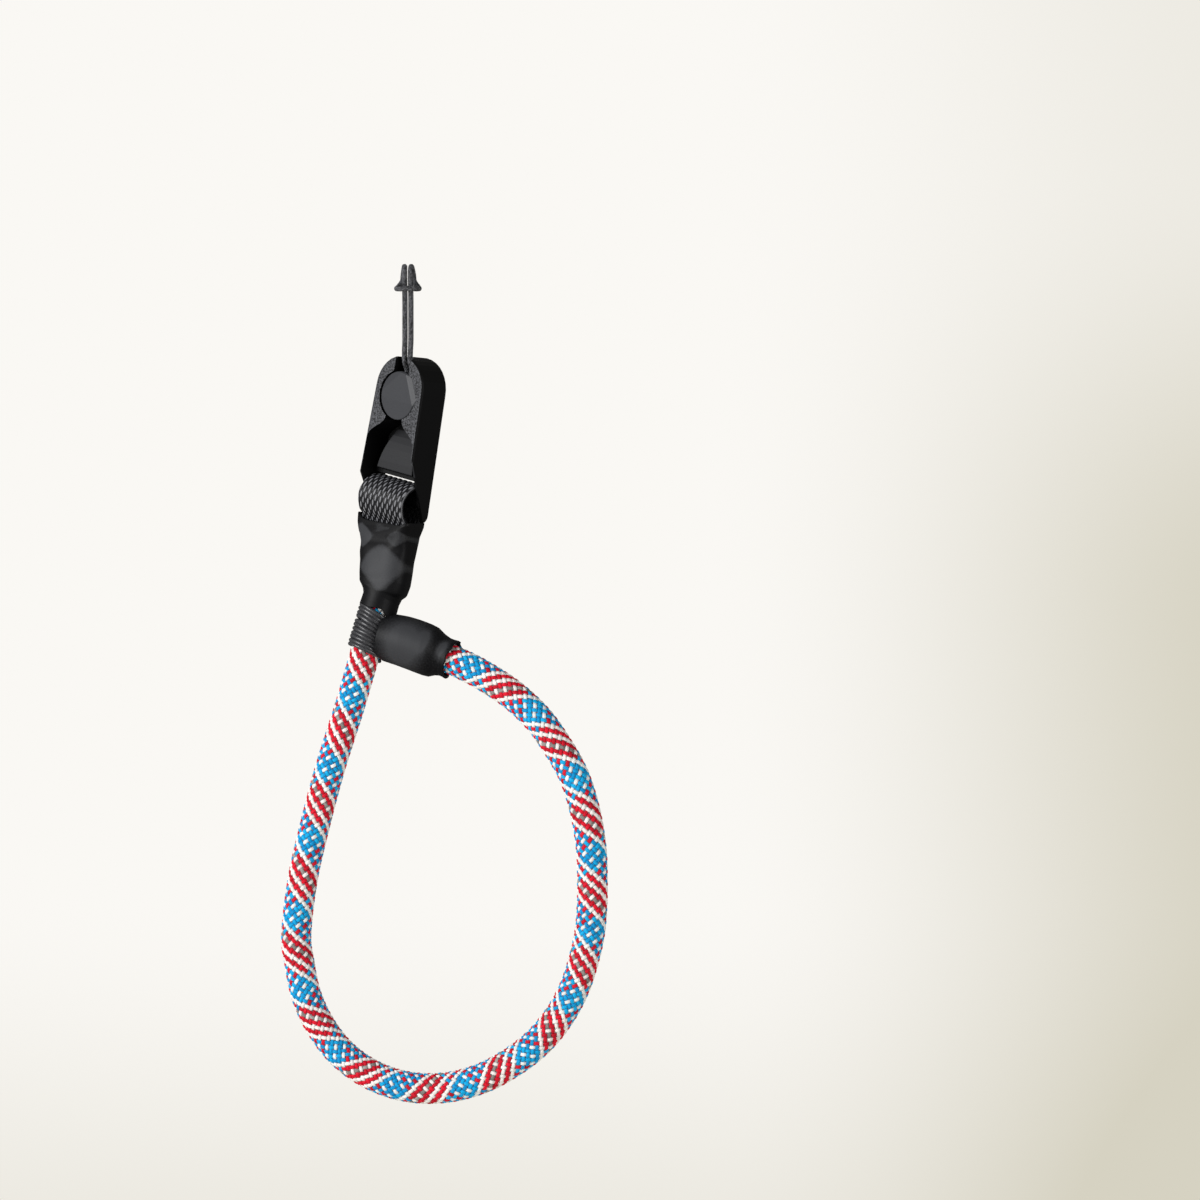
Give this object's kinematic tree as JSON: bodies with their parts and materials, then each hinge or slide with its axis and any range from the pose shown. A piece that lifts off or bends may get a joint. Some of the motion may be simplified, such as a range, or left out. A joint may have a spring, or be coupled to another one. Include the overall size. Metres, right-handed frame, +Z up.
{
  "type": "camera wrist strap",
  "caption": "Wrist strap of braided climbing rope that hangs from a quick-release link by webbing, with two rubber cuffs and a cord whipping.",
  "frame": {"origin": "middle of the hitch of the anchor cord, where the strap hangs on its support", "axes": "+Z up along the hanging strap, +X to the right as seen from the front, which is -Y"},
  "size_m": [0.0994, 0.0427, 0.2533],
  "materials": {
    "anchor_cord": "braided cord, matte",
    "anchor_disc": "moulded nylon, satin",
    "link_housing": "moulded glass-filled nylon, fine grain",
    "webbing": "woven nylon webbing",
    "upper_cuff": "shrunk sleeve, matte",
    "whipping": "waxed cord, satin",
    "side_cuff": "shrunk sleeve, satin",
    "rope_sheath": "braided sheath in white, red and blue"
  },
  "bodies": {
    "root": {"anchor_cord": "anchor_cord", "anchor_disc": "anchor_disc", "link_housing": "link_housing", "webbing_loop": "webbing", "upper_cuff": "upper_cuff", "whipping": "whipping", "side_cuff": "side_cuff", "rope_loop": "rope_sheath"}
  },
  "joints": []
}
